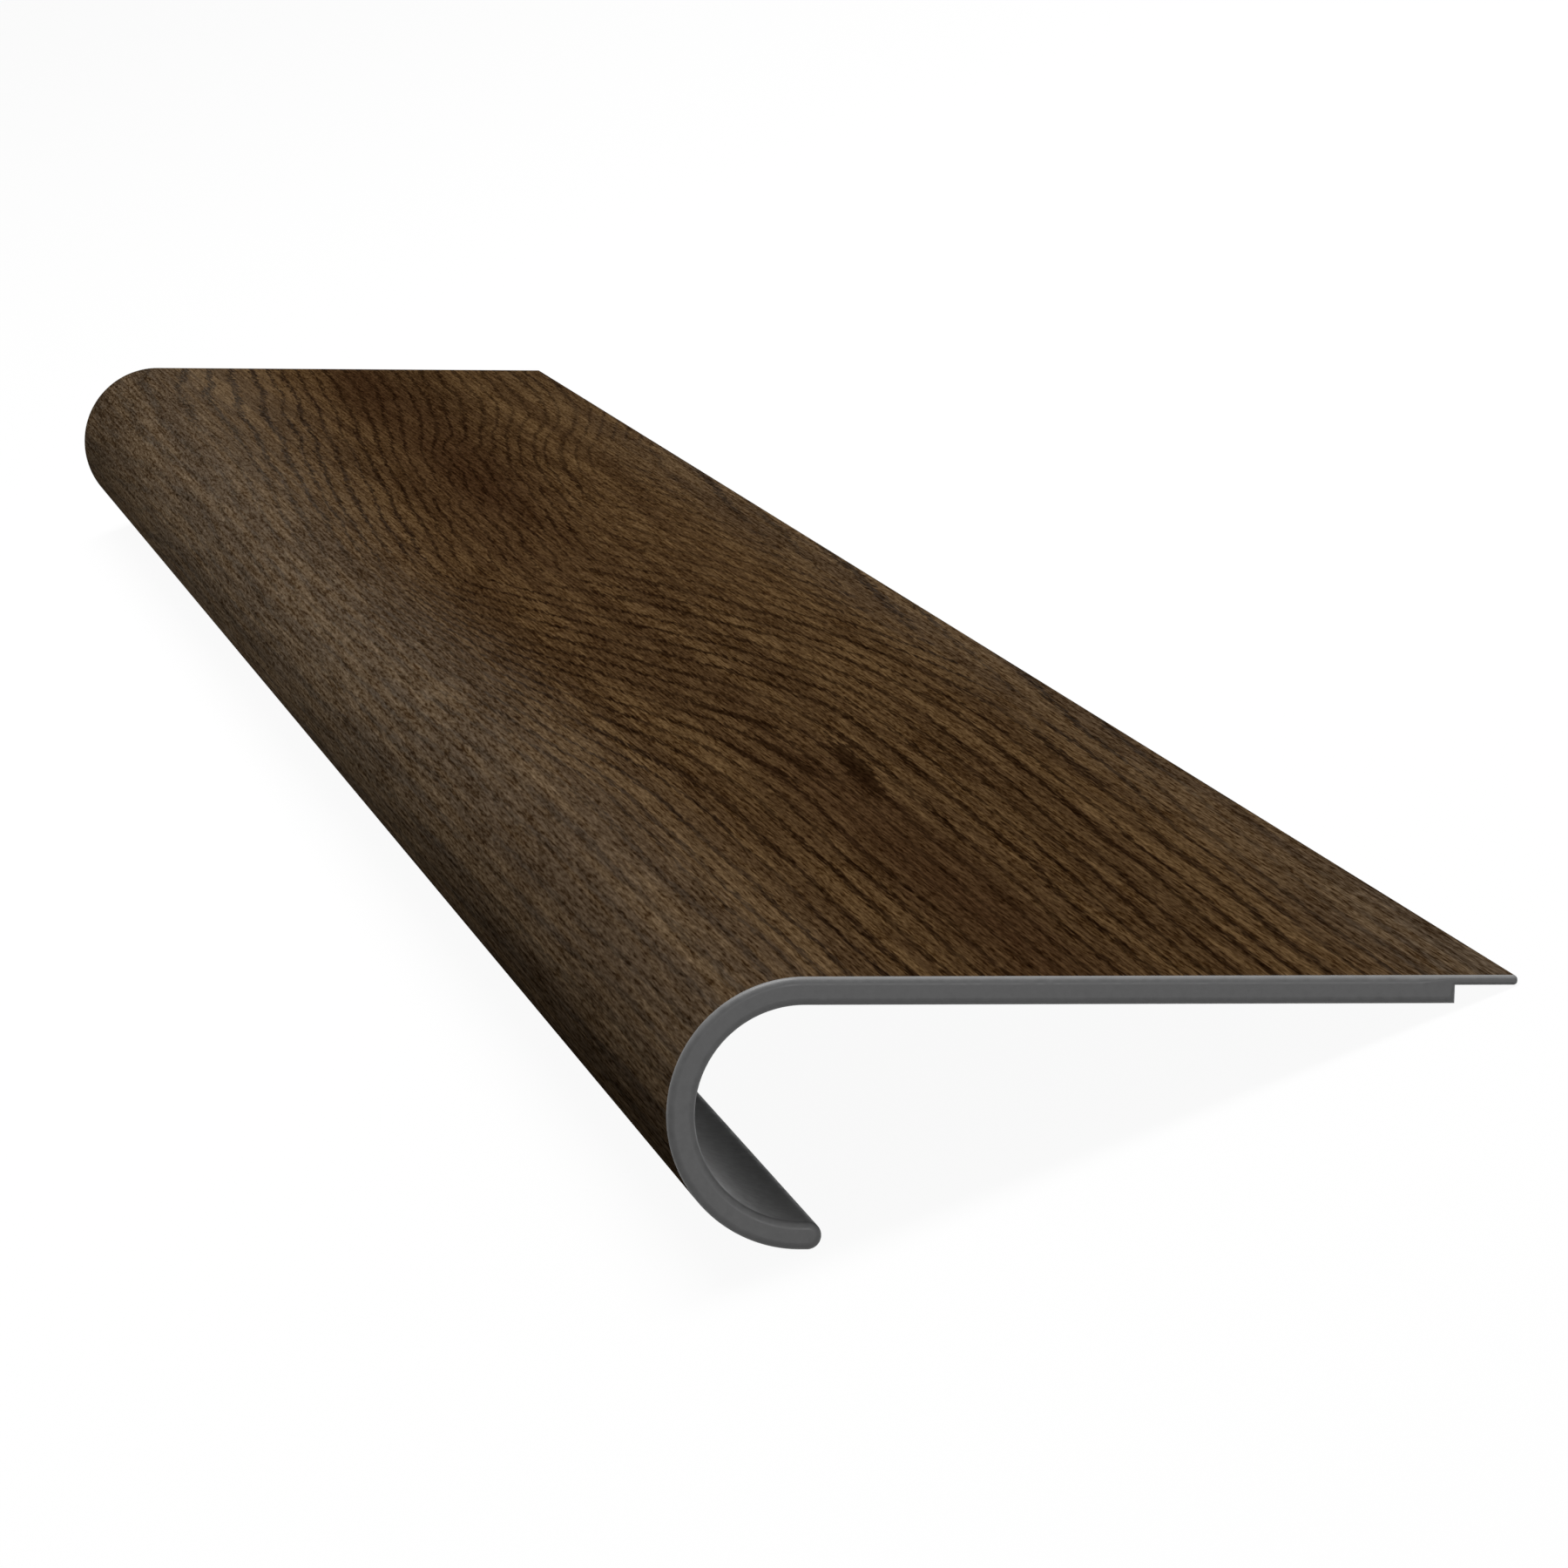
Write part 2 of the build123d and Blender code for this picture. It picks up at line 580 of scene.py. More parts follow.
    def colour(self, film: FilmBoard, line: Socket, fibre: Socket) -> Socket:
        """The print's colour.

        Args:
            film: The material's board.
            line: The growth rings.
            fibre: Fine streaks.

        Returns:
            The colour.
        """
        streak = film.streaks(self.streak)
        gold = film.ramp(film.math("ADD", film.streaks(self.band), streak), *self.gold_edge)
        colour = film.tint(gold, linear(self.olive), linear(self.golden))
        for mark in self.heartwood:
            share = film.math("MULTIPLY", mark.mask(film), self.red_share)
            colour = film.tint(share, colour, linear(self.red))
        colour = film.tint(film.math("MULTIPLY", line, self.ink_share), colour, linear(self.ink))
        # Painted sheen on the nose, and the paler trimmed lip and worn corner, mixed in as a pale grey.
        colour = film.tint(self.sheen_and_pale_share(film), colour, linear(self.sheen_and_pale_edge))
        change = film.total(
            film.swing(fibre, self.fibre_by),
            film.swing(film.streaks(self.hair), self.hair_by),
            film.swing(film.streaks(self.thread), self.thread_by),
            film.swing(film.streaks(self.cloud), self.cloud_by),
            film.swing(streak, self.streak_by),
            *(film.math("MULTIPLY", mark.mask(film), amount) for mark, amount in self.tones_and_sheen),
        )
        level = film.vectors("MULTIPLY_ADD", change, self.paling, WHITE[:3])
        level = film.vectors("MAXIMUM", level, self.darkest)
        return film.tint(1.0, colour, level, "MULTIPLY")


@dataclass(frozen=True)
class GreyVinyl:
    """The bare vinyl of the extrusion, with faint marks of the die along its length."""

    colour: Colour = (112, 112, 112)
    die_marks: Triple = (900.0, 5.0, 900.0)  # marks in a metre, each way
    specks: float = 700.0  # in a metre
    detail: float = 2.0  # octaves of finer marks and specks
    mottle: float = 0.5  # how much the specks change the grey
    mottle_base: float = 0.75  # share of the grey that they leave
    bump_height: float = 0.00003
    bump_strength: float = 0.5
    die_depth: float = 0.5  # depth of the die's marks, as a share of the specks'
    roughness: float = 0.45
    roughness_change: float = 0.06
    speck_edge: Span = (0.3, 0.7)  # specks: between here the roughness changes
    specular: float = 0.3

    def material(self) -> bpy.types.Material:
        """Builds the bare vinyl's material."""
        material, shader = new_material(Skin.CORE.value)
        board = Board(material.node_tree)
        place = board.node("ShaderNodeTexCoord").outputs["Object"]
        stretched = board.node("ShaderNodeMapping", {"Vector": place, "Scale": self.die_marks}).outputs[0]
        noises = []
        for spot, scale in ((stretched, 1.0), (place, self.specks)):
            inputs = {"Vector": spot, "Scale": scale, "Detail": self.detail}
            noises.append(board.node("ShaderNodeTexNoise", inputs).outputs[0])
        marks, speck = noises
        mottle = board.scaled(speck, self.mottle, self.mottle_base)
        board.put(shader.inputs["Base Color"], board.tint(1.0, linear(self.colour), mottle, "MULTIPLY"))
        height = board.scaled(marks, self.die_depth, speck)
        inputs = {"Height": height, "Distance": self.bump_height, "Strength": self.bump_strength}
        board.put(shader.inputs["Normal"], board.node("ShaderNodeBump", inputs).outputs[0])
        smoothest, roughest = (self.roughness + way * self.roughness_change for way in (-1, 1))
        board.put(shader.inputs["Roughness"], board.ramp(speck, *self.speck_edge, smoothest, roughest))
        shader.inputs["Specular IOR Level"].default_value = self.specular
        return material


class SweepBoard(Board):
    """Places the nodes of the sweep's tree."""

    def __init__(self, tree: bpy.types.NodeTree) -> None:
        """Takes the tree, and reads its inputs."""
        super().__init__(tree)
        self.size: Sockets = self.node("NodeGroupInput").outputs

    def position(self) -> Sockets:
        """The vertex's three coordinates."""
        place = self.node("GeometryNodeInputPosition").outputs[0]
        return self.node("ShaderNodeSeparateXYZ", {0: place}).outputs

    def film_faces(self) -> Socket:
        """Whether the film covers a face."""
        return self.node("GeometryNodeInputNamedAttribute", {"Name": PRINTED}, data_type="BOOLEAN").outputs[0]

    def store(
        self, mesh: Socket, name: str, value: Socket, kind: str = "FLOAT2", domain: str = "CORNER"
    ) -> Socket:
        """Stores a value on a mesh.

        Args:
            mesh: The mesh.
            name: The value's name.
            value: The value.
            kind: Blender's name of its type. A map is of type FLOAT2.
            domain: What it is stored for.

        Returns:
            The mesh with the value.
        """
        inputs = {0: mesh, "Name": name, "Value": value}
        return self.node("GeometryNodeStoreNamedAttribute", inputs, data_type=kind, domain=domain).outputs[0]


class OutlineTrace:
    """Follows the section's outline, run by run, for every vertex of a grid at once."""

    def __init__(self, board: Board, step: Socket, start: Socket, heading: float) -> None:
        """Starts a trace.

        Args:
            board: The tree's board.
            step: The vertex's number along the outline.
            start: Where the outline starts.
            heading: The direction in which it starts, in radians.
        """
        self.board = board
        self.step = step
        self.place = start
        self.heading = heading
        self.facing: Value = heading
        self.gone: Value = 0.0
        self.reach: Value = 0.0
        self.stretch: Value = 1.0
        self.ease: Value = 0.0
        self.steps = 0

    def run(self, length: Value, turn: float, steps: int) -> None:
        """Adds a straight run or an arc.

        Args:
            length: Its length.
            turn: How far it turns to the left, in radians.
            steps: The number of vertices along it.
        """
        board = self.board
        last = self.steps + steps
        gone = board.ramp(self.step, self.steps, last, 0.0, length)
        turned = board.ramp(self.step, self.steps, last, 0.0, turn)
        half = board.math("MULTIPLY", turned, 0.5)
        chord = gone
        if turn:
            safe = board.math("ADD", half, TINY)
            chord = board.math("MULTIPLY", gone, board.math("DIVIDE", board.math("SINE", safe), safe))
        way = board.math("ADD", half, self.heading)
        x = board.math("MULTIPLY", board.math("COSINE", way), chord)
        y = board.math("MULTIPLY", board.math("SINE", way), chord)
        self.place = board.vectors("ADD", self.place, board.vector(x, y))
        self.facing = board.math("ADD", self.facing, turned)
        self.heading += turn
        self.gone = board.math("ADD", self.gone, gone)
        self.reach = board.math("ADD", self.reach, length)
        self.steps = last

    def corner(self, turn: float) -> None:
        """Turns on the spot. The corner's vertex faces half way.

        Args:
            turn: How far to turn to the left, in radians.
        """
        board = self.board
        reached = board.math("GREATER_THAN", self.step, self.steps - 0.5)
        passed = board.math("GREATER_THAN", self.step, self.steps + 0.5)
        halves = board.math("MULTIPLY", board.math("ADD", reached, passed), turn / 2)
        self.facing = board.math("ADD", self.facing, halves)
        there = board.math("SUBTRACT", reached, passed)
        mitre = board.math("MULTIPLY", there, 1 / math.cos(turn / 2) - 1)
        self.stretch = board.math("ADD", self.stretch, mitre)
        self.heading += turn


@dataclass(frozen=True)
class OutlineSteps:
    """The number of vertices along each run of the outline."""

    tail: int = 3  # on each side of the tail
    nose: int = 80
    top: int = 26
    lip_round: int = 10  # on each of the lip's two rounds
    lip_edge: int = 4
    lap: int = 8
    step: int = 2  # in this run and the next, far enough apart for the eased ends to turn their corner
    bed: int = 14
    hook: int = 64
    tip: int = 28

    def count(self) -> int:
        """The number of vertices along the whole outline."""
        outside = self.tail + self.nose + self.top + 2 * self.lip_round + self.lip_edge
        return outside + self.lap + self.step + self.bed + self.hook + self.tail + self.tip


@dataclass(frozen=True)
class BakeSquare:
    """Where the surfaces lie in the square that they are laid out in, as shares of its side."""

    margin: float = 0.004
    tall: float = 0.992
    film_wide: float = 0.70
    core_left: float = 0.715
    core_wide: float = 0.18
    near_left: float = 0.905  # the eased edge of the near end
    far_left: float = 0.921
    strip_wide: float = 0.010
    cap_left: float = 0.940  # the two sawn ends
    cap_wide: float = 0.054
    cap_tall: float = 0.470
    near_base: float = 0.010
    far_base: float = 0.515


@dataclass
class LandingNosing:
    """The extrusion, swept along its length from one outline.

    The nose's middle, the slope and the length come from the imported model.
    """

    frame: dict
    depth: float = 0.121
    wall: float = 0.004
    tail_run: float = 0.0009
    lip_width: float = 0.009
    lip_thickness: float = 0.0014
    lip_round: float = 0.0006
    end_round: float = 0.0011  # eased edge of a sawn end, along the length
    end_ease: float = 0.0011  # and in the end's face
    lip_ease: float = 0.00054  # and in the thin face of the lip
    crease: float = 50.0  # degrees, past which an edge is sharp
    steps: OutlineSteps = OutlineSteps()
    round_steps: int = 7
    length_steps: int = 40
    square: BakeSquare = BakeSquare()

    def mount(self, name: str) -> dict:
        """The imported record's mount of that name."""
        return next(m for m in self.frame["record"]["mounts"] if m["name"] == name)

    def sizes(self) -> dict[str, float | Triple]:
        """The tree's inputs, by name."""
        hook = self.mount("nose_hook")
        down = Vector(self.mount("bed")["axis"])
        low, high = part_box(NODE)
        return {
            "Length": high[1] - low[1],
            "Depth": self.depth,
            "Wall": self.wall,
            "Nose Radius": hook["dims"]["r_mm"] / 1000 + self.wall,
            "Tail Run": self.tail_run,
            "Lip Width": self.lip_width,
            "Lip Thickness": self.lip_thickness,
            "Lip Round": self.lip_round,
            "End Round": self.end_round,
            "End Ease": self.end_ease,
            "Lip Ease": self.lip_ease,
            "Slope": math.atan2(-down.x, -down.z),
            "Nose Centre": tuple(hook["pos_m"]),
        }

    def build(self, finishes: dict[Skin, bpy.types.Material]) -> bpy.types.Object:
        """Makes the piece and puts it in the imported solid's place.

        Args:
            finishes: The material of each skin.

        Returns:
            The finished piece.
        """
        sizes = self.sizes()
        tree = self.sweep_tree(sizes, finishes)
        holder = bpy.data.objects.new("nosing_sweep", bpy.data.meshes.new("nosing_sweep"))
        bpy.context.scene.collection.objects.link(holder)
        modifier = holder.modifiers.new("sweep", "NODES")
        modifier.node_group = tree
        for item in tree.interface.items_tree:
            if item.in_out == "INPUT":
                modifier[item.identifier] = sizes[item.name]
        graph = bpy.context.evaluated_depsgraph_get()
        mesh = bpy.data.meshes.new_from_object(holder.evaluated_get(graph))
        holder.modifiers.remove(modifier)
        bpy.data.objects.remove(holder)
        mesh.name = "printed_nosing"
        piece = bpy.data.objects.new("printed_nosing", mesh)
        bpy.context.scene.collection.objects.link(piece)
        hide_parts(NODE)
        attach(piece, "root")
        return piece

    def sweep_tree(
        self, sizes: dict[str, float | Triple], finishes: dict[Skin, bpy.types.Material]
    ) -> bpy.types.GeometryNodeTree:
        """Builds the node tree that sweeps the outline along the length.

        Args:
            sizes: The tree's inputs, by name.
            finishes: The material of each skin.

        Returns:
            The tree.
        """
        tree = bpy.data.node_groups.new("nosing_sweep", "GeometryNodeTree")
        tree.is_modifier = True
        for name, size in sizes.items():
            kind = "NodeSocketVector" if isinstance(size, tuple) else "NodeSocketFloat"
            tree.interface.new_socket(name, in_out="INPUT", socket_type=kind)
        tree.interface.new_socket("Nosing", in_out="OUTPUT", socket_type="NodeSocketGeometry")
        board = SweepBoard(tree)
        shell = self.sides(board)
        caps = [self.cap(board, shell, end) for end in End]
        joined = board.node("GeometryNodeJoinGeometry")
        for part in (*caps, shell):
            board.put(joined.inputs[0], part)
        merged = board.node("GeometryNodeMergeByDistance", {0: joined.outputs[0], "Distance": TINY})
        whole = self.set_in_frame(board, merged.outputs[0])
        skins = {s: board.node("GeometryNodeSetMaterial", {"Material": finishes[s]}) for s in Skin}
        real = board.node("GeometryNodeRealizeInstances", {0: whole})
        board.put(skins[Skin.CORE].inputs[0], real.outputs[0])
        board.put(skins[Skin.PRINT].inputs[0], skins[Skin.CORE].outputs[0])
        board.put(skins[Skin.PRINT].inputs["Selection"], board.film_faces())
        board.node("NodeGroupOutput", {0: skins[Skin.PRINT].outputs[0]})
        return tree

    def sides(self, board: SweepBoard) -> Socket:
        """Makes the extrusion's sides from a flat grid, with their maps.

        Args:
            board: The tree's board.

        Returns:
            The sides, with the length along Z and the near end on top.
        """
        place = board.position()
        column, row = (board.math("ADD", place[axis], 0.5) for axis in (0, 1))
        trace, film_edge = self.outline(board, column)
        rows = 2 * self.round_steps + self.length_steps
        away, inset = self.stations(board, board.math("MULTIPLY", row, rows))
        inputs = {"Size X": 1.0, "Size Y": 1.0, "Vertices X": trace.steps + 1, "Vertices Y": rows + 1}
        grid = board.node("GeometryNodeMeshGrid", inputs).outputs[0]
        printed = self.on_film(board, trace, film_edge, away)
        shell = board.store(grid, PRINTED, printed, "BOOLEAN", "FACE")
        nose_arc = board.math("MULTIPLY", board.size["Nose Radius"], math.pi)
        nose_top = board.math("ADD", board.size["Tail Run"], nose_arc)
        across = board.math("SUBTRACT", trace.gone, nose_top)
        shell = board.store(shell, GRAIN_MAP, board.vector(across, away))
        shell = board.store(shell, BAKE_MAP, self.layout(board, trace, film_edge, away))
        return self.place_shell(board, shell, trace, away, inset)

    def outline(self, board: SweepBoard, column: Socket) -> tuple[OutlineTrace, Socket]:
        """Traces the section clockwise from the tail's underside, about the nose's middle.

        Args:
            board: The tree's board.
            column: The vertex's share of the way round.

        Returns:
            The trace, and the distance along it at which the printed film ends.
        """
        size, steps = board.size, self.steps
        radius, wall = size["Nose Radius"], size["Wall"]
        inner = board.math("SUBTRACT", radius, wall)
        start = board.vector(size["Tail Run"], board.math("MULTIPLY", radius, -1.0))
        trace = OutlineTrace(board, board.math("MULTIPLY", column, steps.count()), start, math.pi)
        lip_arc = board.math("MULTIPLY", size["Lip Round"], QUARTER)
        edge = board.math("SUBTRACT", size["Lip Thickness"], board.math("MULTIPLY", size["Lip Round"], 2.0))
        behind = board.math("SUBTRACT", size["Depth"], radius)
        trace.run(size["Tail Run"], 0.0, steps.tail)
        trace.run(board.math("MULTIPLY", radius, math.pi), -math.pi, steps.nose)
        trace.run(board.math("SUBTRACT", behind, size["Lip Round"]), 0.0, steps.top)
        lip_start = board.math("SUBTRACT", trace.reach, size["Lip Width"])
        trace.run(lip_arc, -QUARTER, steps.lip_round)
        film_edge = trace.reach
        trace.run(edge, 0.0, steps.lip_edge)
        trace.run(lip_arc, -QUARTER, steps.lip_round)
        trace.run(board.math("SUBTRACT", size["Lip Width"], size["Lip Round"]), 0.0, steps.lap)
        lip_end = trace.reach
        trace.corner(QUARTER)
        trace.run(board.math("SUBTRACT", wall, size["Lip Thickness"]), 0.0, steps.step)
        before_lip = board.ramp(trace.gone, board.math("SUBTRACT", lip_start, wall), lip_start, 1.0, 0.0)
        past_lip = board.ramp(trace.gone, lip_end, trace.reach)
        trace.corner(-QUARTER)
        trace.run(board.math("SUBTRACT", behind, size["Lip Width"]), 0.0, steps.bed)
        trace.run(board.math("MULTIPLY", inner, math.pi), math.pi, steps.hook)
        trace.run(size["Tail Run"], 0.0, steps.tail)
        trace.run(board.math("MULTIPLY", wall, QUARTER), -math.pi, steps.tip)
        thick = board.math("ADD", before_lip, past_lip)
        trace.ease = board.blend(thick, size["Lip Ease"], size["End Ease"])
        return trace, film_edge

    def stations(self, board: SweepBoard, row: Socket) -> tuple[Socket, Socket]:
        """Where each row of the grid lies along the length.

        Args:
            board: The tree's board.
            row: The row's number, from 0 at the near end.

        Returns:
            The row's distance from the near end, and the share of the ease that draws the outline in there.
        """
        radius = board.size["End Round"]
        begin, end = self.round_steps, self.round_steps + self.length_steps
        near = board.ramp(row, 0.0, begin, 0.0, QUARTER)
        far = board.ramp(row, end, end + self.round_steps, QUARTER, 0.0)
        straight = board.math("SUBTRACT", board.size["Length"], board.math("MULTIPLY", radius, 2.0))
        inputs = {"Value": row, "From Min": begin, "From Max": end, "To Min": 0.0, "To Max": straight}
        middle = board.node("ShaderNodeMapRange", inputs, interpolation_type="SMOOTHERSTEP").outputs["Result"]
        rise = board.math("SUBTRACT", 1.0, board.math("COSINE", near))
        turns = board.math("MULTIPLY", radius, board.math("ADD", rise, board.math("COSINE", far)))
        drawn = board.math("ADD", board.math("SINE", near), board.math("SINE", far))
        return board.math("ADD", turns, middle), board.math("SUBTRACT", 2.0, drawn)

    @staticmethod
    def on_film(board: SweepBoard, trace: OutlineTrace, film_edge: Socket, away: Socket) -> Socket:
        """Finds the faces that the film covers: the outside, short of the eased ends.

        Args:
            board: The tree's board.
            trace: The outline.
            film_edge: The distance along it at which the film ends.
            away: Distance from the near end.

        Returns:
            1 on those faces.
        """
        length, rounded = board.size["Length"], board.size["End Round"]
        outside = board.math("LESS_THAN", trace.gone, film_edge)
        past_near = board.math("GREATER_THAN", away, rounded)
        before_far = board.math("LESS_THAN", away, board.math("SUBTRACT", length, rounded))
        return board.math("MULTIPLY", outside, board.math("MULTIPLY", past_near, before_far))

    def layout(self, board: SweepBoard, trace: OutlineTrace, film_edge: Socket, away: Socket) -> Socket:
        """Lays the sides out in a square: the film, the bare vinyl, and the two eased ends as narrow strips.

        Args:
            board: The tree's board.
            trace: The outline.
            film_edge: The distance along it at which the film ends.
            away: Distance from the near end.

        Returns:
            The place in the square.
        """
        square = self.square
        length, rounded = board.size["Length"], board.size["End Round"]
        bare = board.math("SUBTRACT", trace.gone, film_edge)
        bare_share = board.math("DIVIDE", bare, board.math("SUBTRACT", trace.reach, film_edge))
        film_share = board.math("DIVIDE", trace.gone, film_edge)
        upright = board.scaled(board.math("DIVIDE", away, length), square.tall, square.margin)
        around = board.scaled(board.math("DIVIDE", trace.gone, trace.reach), square.tall, square.margin)
        film_x = board.scaled(film_share, square.film_wide, square.margin)
        choices = [(board.film_faces(), board.vector(film_x, upright))]
        left = board.math("SUBTRACT", length, away)
        for gap, strip_left in ((away, square.near_left), (left, square.far_left)):
            eased = board.math("LESS_THAN", gap, rounded)
            faces = board.node("GeometryNodeFieldOnDomain", {0: eased}, domain="FACE").outputs[0]
            strip_x = board.scaled(board.math("DIVIDE", gap, rounded), square.strip_wide, strip_left)
            choices.append((board.math("GREATER_THAN", faces, 0.5), board.vector(strip_x, around)))
        place = board.vector(board.scaled(bare_share, square.core_wide, square.core_left), upright)
        for choice, other in choices:
            inputs = {0: choice, 1: place, 2: other}
            place = board.node("GeometryNodeSwitch", inputs, input_type="VECTOR").outputs[0]
        return place

    def place_shell(
        self, board: SweepBoard, grid: Socket, trace: OutlineTrace, away: Socket, inset: Socket
    ) -> Socket:
        """Moves the grid's vertices onto the extrusion's sides, and closes the seam.

        Args:
            board: The tree's board.
            grid: The flat grid.
            trace: The outline.
            away: Distance from the near end.
            inset: The share of the ease that draws the outline in.

        Returns:
            The sides, with the length along Z and the near end on top.
        """
        drawn = board.math("MULTIPLY", inset, board.math("MULTIPLY", trace.ease, trace.stretch))
        x = board.math("MULTIPLY", board.math("SINE", trace.facing), drawn)
        y = board.math("MULTIPLY", board.math("COSINE", trace.facing), board.math("MULTIPLY", drawn, -1.0))
        z = board.math("SUBTRACT", board.math("MULTIPLY", board.size["Length"], 0.5), away)
        spot = board.vectors("ADD", trace.place, board.vector(x, y, z))
        moved = board.node("GeometryNodeSetPosition", {0: grid, "Position": spot})
        closed = board.node("GeometryNodeMergeByDistance", {0: moved.outputs[0], "Distance": TINY})
        inputs = {0: closed.outputs[0], "Shade Smooth": True}
        smooth = board.node("GeometryNodeSetShadeSmooth", inputs, domain="FACE")
        angle = board.node("GeometryNodeInputMeshEdgeAngle").outputs[0]
        sharp = board.math("GREATER_THAN", angle, math.radians(self.crease))
        inputs = {0: smooth.outputs[0], "Selection": sharp, "Shade Smooth": False}
        return board.node("GeometryNodeSetShadeSmooth", inputs, domain="EDGE").outputs[0]

    def cap(self, board: SweepBoard, shell: Socket, end: End) -> Socket:
        """Fills one sawn end from the open edge of the near end. The far end's face is the same, turned over.

        Args:
            board: The tree's board.
            shell: The sides.
            end: Which end it is.

        Returns:
            The end's face.
        """
        square, place = self.square, board.position()
        faces_there = board.node("GeometryNodeInputMeshEdgeNeighbors").outputs[0]
        single = board.math("LESS_THAN", faces_there, 1.5)  # an open edge has one face, and others have two
        rim = board.math("MULTIPLY", single, board.math("GREATER_THAN", place[2], 0.0))
        loop = board.node("GeometryNodeMeshToCurve", {0: shell, "Selection": rim})
        fill = board.node("GeometryNodeFillCurve", {0: loop.outputs[0]}, mode="TRIANGLES")
        lift = board.math("MULTIPLY", board.size["Length"], end.value)
        inputs = {0: fill.outputs[0], "Translation": board.vector(0.0, 0.0, lift)}
        face = board.node("GeometryNodeTransform", inputs).outputs[0]
        if end is End.FAR:
            face = board.node("GeometryNodeFlipFaces", {0: face}).outputs[0]
        flat = board.node("GeometryNodeSetShadeSmooth", {0: face, "Shade Smooth": False}, domain="FACE")
        radius = board.size["Nose Radius"]
        height = board.math("MULTIPLY", radius, 2.0)
        across = board.math("DIVIDE", board.math("ADD", place[0], radius), board.size["Depth"])
        up = board.math("DIVIDE", board.math("ADD", place[1], radius), height)
        x = board.scaled(up, square.cap_wide, square.cap_left)
        y = board.scaled(across, square.cap_tall, square.near_base if end is End.NEAR else square.far_base)
        face = board.store(flat.outputs[0], GRAIN_MAP, board.vector(0.0, 0.0))
        return board.store(face, BAKE_MAP, board.vector(x, y))

    @staticmethod
    def set_in_frame(board: SweepBoard, mesh: Socket) -> Socket:
        """Turns the length from Z to Y, slopes the plate and sets the nose's middle in its place.

        Args:
            board: The tree's board.
            mesh: The nosing, with its length along Z.

        Returns:
            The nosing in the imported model's frame.
        """
        turn = board.vector(QUARTER, board.size["Slope"], 0.0)
        rotation = board.node("FunctionNodeEulerToRotation", {0: turn}).outputs[0]
        inputs = {0: mesh, "Translation": board.size["Nose Centre"], "Rotation": rotation}
        return board.node("GeometryNodeTransform", inputs).outputs[0]


@dataclass(frozen=True)
class Lamp:
    """A soft square lamp that looks at a point."""

    name: str
    place: Triple
    aim: Triple
    size: float
    power: float
    spread: float = 180.0  # degrees over which it shines

    def light(self) -> None:
        """Adds the lamp to the scene."""
        data = bpy.data.lights.new(self.name, "AREA")
        data.size = self.size
        data.energy = self.power
        data.spread = math.radians(self.spread)
        lamp = bpy.data.objects.new(self.name, data)
        lamp.visible_camera = False
        lamp.location = self.place
        lamp.rotation_euler = (Vector(self.aim) - Vector(self.place)).to_track_quat("-Z", "Y").to_euler()
        bpy.context.scene.collection.objects.link(lamp)


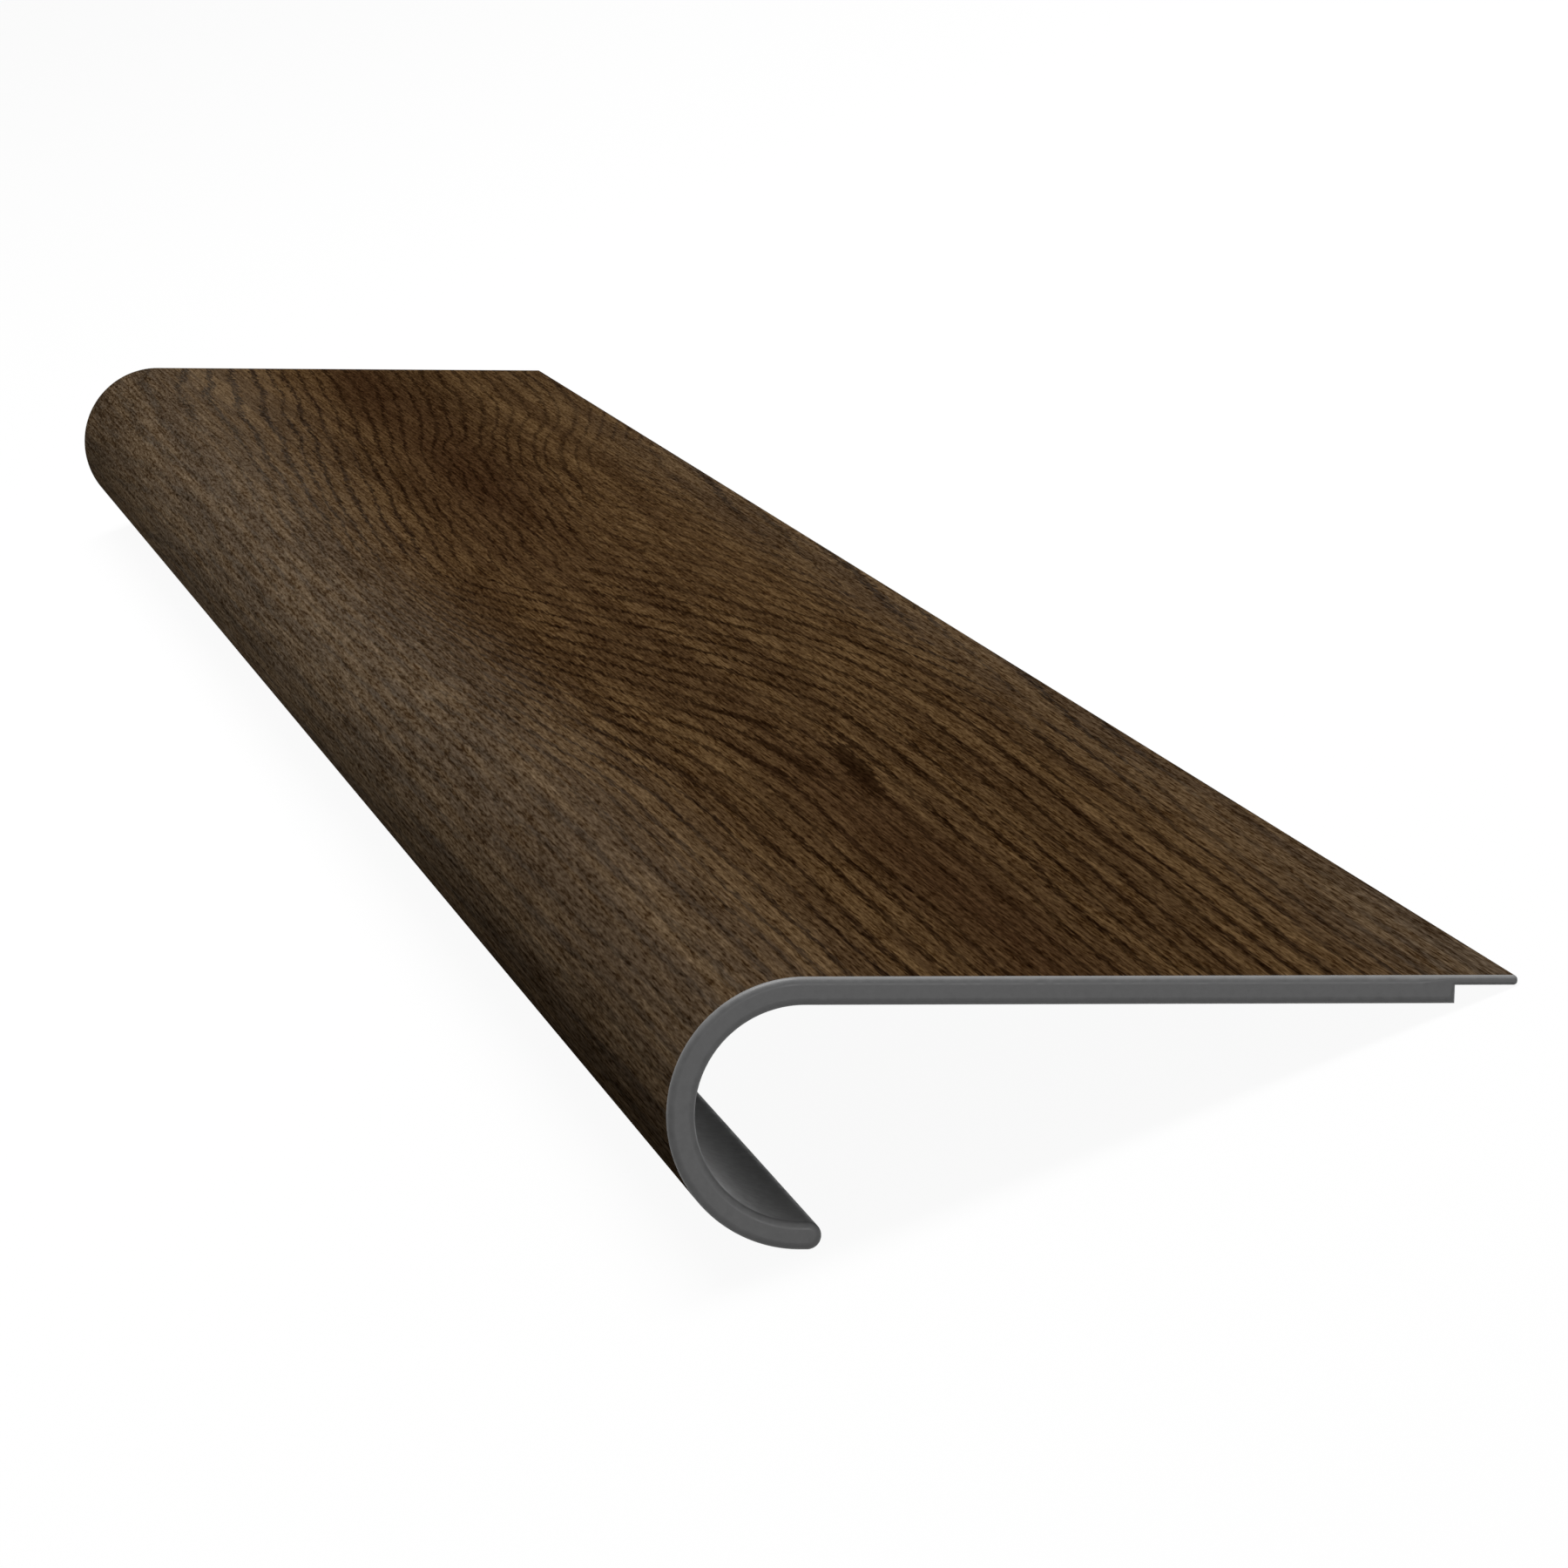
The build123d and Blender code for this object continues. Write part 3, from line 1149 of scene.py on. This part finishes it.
@dataclass(frozen=True)
class Studio:
    """A white floor, a pale sky, soft lamps and the camera."""

    floor_half: float = 40.0
    floor_level: float = -0.0001  # just clear of the piece
    floor_glow: float = 0.94  # how white the floor shows without light
    floor_bounce: float = 0.12  # how much light it throws on the piece
    sky: float = 0.15
    camera_place: Triple = (-0.1513, -1.8963, 0.2682)
    camera_aim: Triple = (-0.0060, -0.3633, 0.0260)
    camera_roll: float = 19.5  # degrees, so that the sloping plate looks level
    camera_lens: float = 217.2
    camera_reach: float = 200.0
    lamps: tuple[Lamp, ...] = (
        Lamp("key", (0.42, 0.30, 2.6), (0.0, 0.1, 0.0), 1.6, 74.0),
        Lamp("front", (0.5, -3.0, 0.32), (0.0, -0.6, 0.0), 0.6, 17.0),
        Lamp("side", (-1.5, 0.20, 0.30), (0.0, 0.20, 0.0), 0.4, 0.86, 62.0),
    )

    def build(self) -> None:
        """Sets the studio up."""
        bpy.context.scene.view_settings.view_transform = "Standard"
        self.world()
        self.floor()
        for lamp in self.lamps:
            lamp.light()
            LOG.info("lamp: %s", lamp.name)
        self.camera()

    @staticmethod
    def when_seen(board: Board, light: bpy.types.Node, seen: bpy.types.Node) -> Socket:
        """Gives rays that show the background, straight, mirrored or through glass, their own shader.

        Args:
            board: The tree's board.
            light: The shader for the light that falls on the piece.
            seen: The shader for the rays that show the background.

        Returns:
            The mix of the two.
        """
        path = board.node("ShaderNodeLightPath").outputs
        straight = board.math("MAXIMUM", path["Is Camera Ray"], path["Is Glossy Ray"])
        shows = board.math("MAXIMUM", straight, path["Is Transmission Ray"])
        inputs = {0: shows, 1: light.outputs[0], 2: seen.outputs[0]}
        return board.node("ShaderNodeMixShader", inputs).outputs[0]

    def world(self) -> None:
        """A sky that lights evenly and shows as white."""
        world = bpy.data.worlds.new("sky")
        bpy.context.scene.world = world
        board = Board(cleared(world))
        light = board.node("ShaderNodeBackground", {"Color": WHITE, "Strength": self.sky})
        white = board.node("ShaderNodeBackground", {"Color": WHITE, "Strength": 1.0})
        board.node("ShaderNodeOutputWorld", {"Surface": self.when_seen(board, light, white)})

    def floor(self) -> bpy.types.Object:
        """A level white floor that keeps a faint shadow."""
        half, level = self.floor_half, self.floor_level
        mesh = bpy.data.meshes.new("floor")
        corners = [(-half, -half, level), (half, -half, level), (half, half, level), (-half, half, level)]
        mesh.from_pydata(corners, [], [(0, 1, 2, 3)])
        floor = bpy.data.objects.new("floor", mesh)
        bpy.context.scene.collection.objects.link(floor)
        material = bpy.data.materials.new("white_floor")
        board = Board(cleared(material))
        bounce, paint = (
            board.node("ShaderNodeBsdfDiffuse", {"Color": (grey, grey, grey, 1.0)})
            for grey in (self.floor_bounce, 1.0 - self.floor_glow)
        )
        glow = board.node("ShaderNodeEmission", {"Color": WHITE, "Strength": self.floor_glow})
        white = board.node("ShaderNodeAddShader", {0: paint.outputs[0], 1: glow.outputs[0]})
        board.node("ShaderNodeOutputMaterial", {"Surface": self.when_seen(board, bounce, white)})
        mesh.materials.append(material)
        return floor

    def camera(self) -> None:
        """The camera, low before the near end and looking along the piece."""
        data = bpy.data.cameras.new("camera")
        data.lens = self.camera_lens
        data.clip_end = self.camera_reach
        camera = bpy.data.objects.new("camera", data)
        look = Vector(self.camera_aim) - Vector(self.camera_place)
        roll = Matrix.Rotation(math.radians(-self.camera_roll), 4, "Z")
        facing = look.to_track_quat("-Z", "Y").to_matrix().to_4x4()
        camera.matrix_world = Matrix.Translation(self.camera_place) @ facing @ roll
        bpy.context.scene.collection.objects.link(camera)
        bpy.context.scene.camera = camera


def main() -> None:
    """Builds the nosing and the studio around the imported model."""
    logging.basicConfig(level=logging.INFO, format="%(name)s: %(message)s")
    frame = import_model()
    finishes = {Skin.PRINT: OakPrint().material(), Skin.CORE: GreyVinyl().material()}
    piece = LandingNosing(frame).build(finishes)
    LOG.info("%s: %d faces", piece.name, len(piece.data.polygons))
    Studio().build()


if __name__ == "__main__":
    main()
